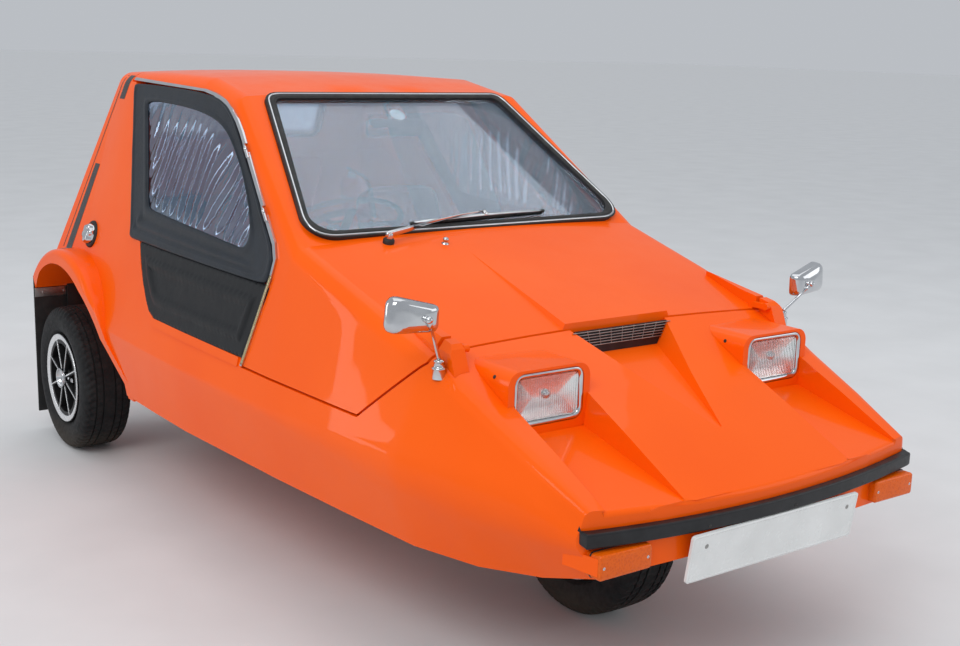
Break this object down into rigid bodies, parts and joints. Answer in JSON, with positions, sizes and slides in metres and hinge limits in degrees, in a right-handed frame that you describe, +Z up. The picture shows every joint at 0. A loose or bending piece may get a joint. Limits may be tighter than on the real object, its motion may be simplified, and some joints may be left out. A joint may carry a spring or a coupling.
{
  "type": "three wheeled car",
  "caption": "Wedge shaped two seat car with one steered front wheel, a tilting canopy, soft side screens and a boot lid.",
  "frame": {"origin": "on the ground under the middle of the car", "axes": "+Z up, +Y towards the tail, +X towards the car's left side"},
  "size_m": [1.397, 2.812, 1.2898],
  "materials": {
    "body_paint": "gloss orange gel coat",
    "black_trim": "satin black",
    "rubber": "matt",
    "tyre": "matt tread rubber",
    "chrome": "polished",
    "rim_paint": "satin black with bright edges",
    "glass": "clear",
    "screen_cloth": "coated black cloth",
    "clear_sheet": "clear flexible sheet",
    "seat_vinyl": "grained black vinyl",
    "chassis_paint": "satin black",
    "engine_metal": "oily casting",
    "exhaust_metal": "heat stained",
    "lamp_glass": "fluted",
    "amber_lens": "moulded lens",
    "red_lens": "moulded lens",
    "plate": "blank plate"
  },
  "bodies": {
    "tub": {"body_tub": "body_paint", "rear_window_seal": "rubber", "rear_window": "glass", "nose_grille": "black_trim", "chassis_frame": "chassis_paint", "rear_axle": "chassis_paint", "rear_links": "chassis_paint", "engine_block": "engine_metal", "propshaft": "chassis_paint", "exhaust": "exhaust_metal", "front_bumper": "rubber", "front_plate": "plate", "front_indicators": "amber_lens", "tail_lamps": "red_lens", "rear_plate": "plate", "mudflaps": "rubber", "hinge_fairings": "body_paint", "dash_panel": "black_trim", "steering_column": "black_trim", "fuel_cap": "chrome", "headlamp_pod_left": "body_paint", "headlamp_left": "lamp_glass", "seat_left": "seat_vinyl", "door_mirror_left": "chrome", "headlamp_pod_right": "body_paint", "headlamp_right": "lamp_glass", "seat_right": "seat_vinyl", "door_mirror_right": "chrome"},
    "canopy": {"canopy_shell": "body_paint", "windscreen_seal": "rubber", "windscreen": "glass", "wiper": "chrome", "interior_mirror": "black_trim", "canopy_strip_left": "chrome", "canopy_strip_right": "chrome", "lower_panel_left": "screen_cloth", "lower_panel_right": "screen_cloth"},
    "side_screen_left": {"screen_frame_left": "screen_cloth", "screen_window_left": "clear_sheet"},
    "side_screen_right": {"screen_frame_right": "screen_cloth", "screen_window_right": "clear_sheet"},
    "boot_lid": {"boot_lid": "body_paint"},
    "steering_wheel": {"steering_wheel": "black_trim"},
    "front_knuckle": {"front_arm": "chassis_paint"},
    "front_wheel": {"front_tyre": "tyre", "front_rim": "rim_paint"},
    "rear_wheel_left": {"rear_tyre_left": "tyre", "rear_rim_left": "rim_paint"},
    "rear_wheel_right": {"rear_tyre_right": "tyre", "rear_rim_right": "rim_paint"}
  },
  "joints": [
    {"name": "canopy_tilt", "type": "hinge", "parent": "tub", "child": "canopy", "pos_m": [0, -0.905, 0.75], "axis": [1, 0, 0], "range_deg": [0, 48]},
    {"name": "side_screen_left_swing", "type": "hinge", "parent": "canopy", "child": "side_screen_left", "pos_m": [0.578, -0.192, 0.89], "axis": [0.1536, -0.7579, -0.6341], "range_deg": [0, 70]},
    {"name": "side_screen_right_swing", "type": "hinge", "parent": "canopy", "child": "side_screen_right", "pos_m": [-0.578, -0.192, 0.89], "axis": [0.1536, 0.7579, 0.6341], "range_deg": [0, 70]},
    {"name": "boot_lid_lift", "type": "hinge", "parent": "tub", "child": "boot_lid", "pos_m": [0, 1.2308, 0.9769], "axis": [1, 0, 0], "range_deg": [0, 80]},
    {"name": "front_steer", "type": "hinge", "parent": "tub", "child": "front_knuckle", "pos_m": [0, -1.1, 0.44], "axis": [0, 0, 1], "range_deg": [-30, 30]},
    {"name": "steering_wheel_turn", "type": "hinge", "parent": "tub", "child": "steering_wheel", "pos_m": [-0.29, 0.02, 0.79], "axis": [0, 0.8191, 0.5736], "range_deg": [-361, 361]},
    {"name": "front_wheel_roll", "type": "hinge", "parent": "front_knuckle", "child": "front_wheel", "pos_m": [0, -0.804, 0.243], "axis": [1, 0, 0], "continuous": true},
    {"name": "rear_wheel_left_roll", "type": "hinge", "parent": "tub", "child": "rear_wheel_left", "pos_m": [0.6095, 1.152, 0.243], "axis": [1, 0, 0], "continuous": true},
    {"name": "rear_wheel_right_roll", "type": "hinge", "parent": "tub", "child": "rear_wheel_right", "pos_m": [-0.6095, 1.152, 0.243], "axis": [1, 0, 0], "continuous": true}
  ],
  "couplings": [
    {"joint": "steering_wheel_turn", "follows": "front_steer", "ratio": 12}
  ]
}
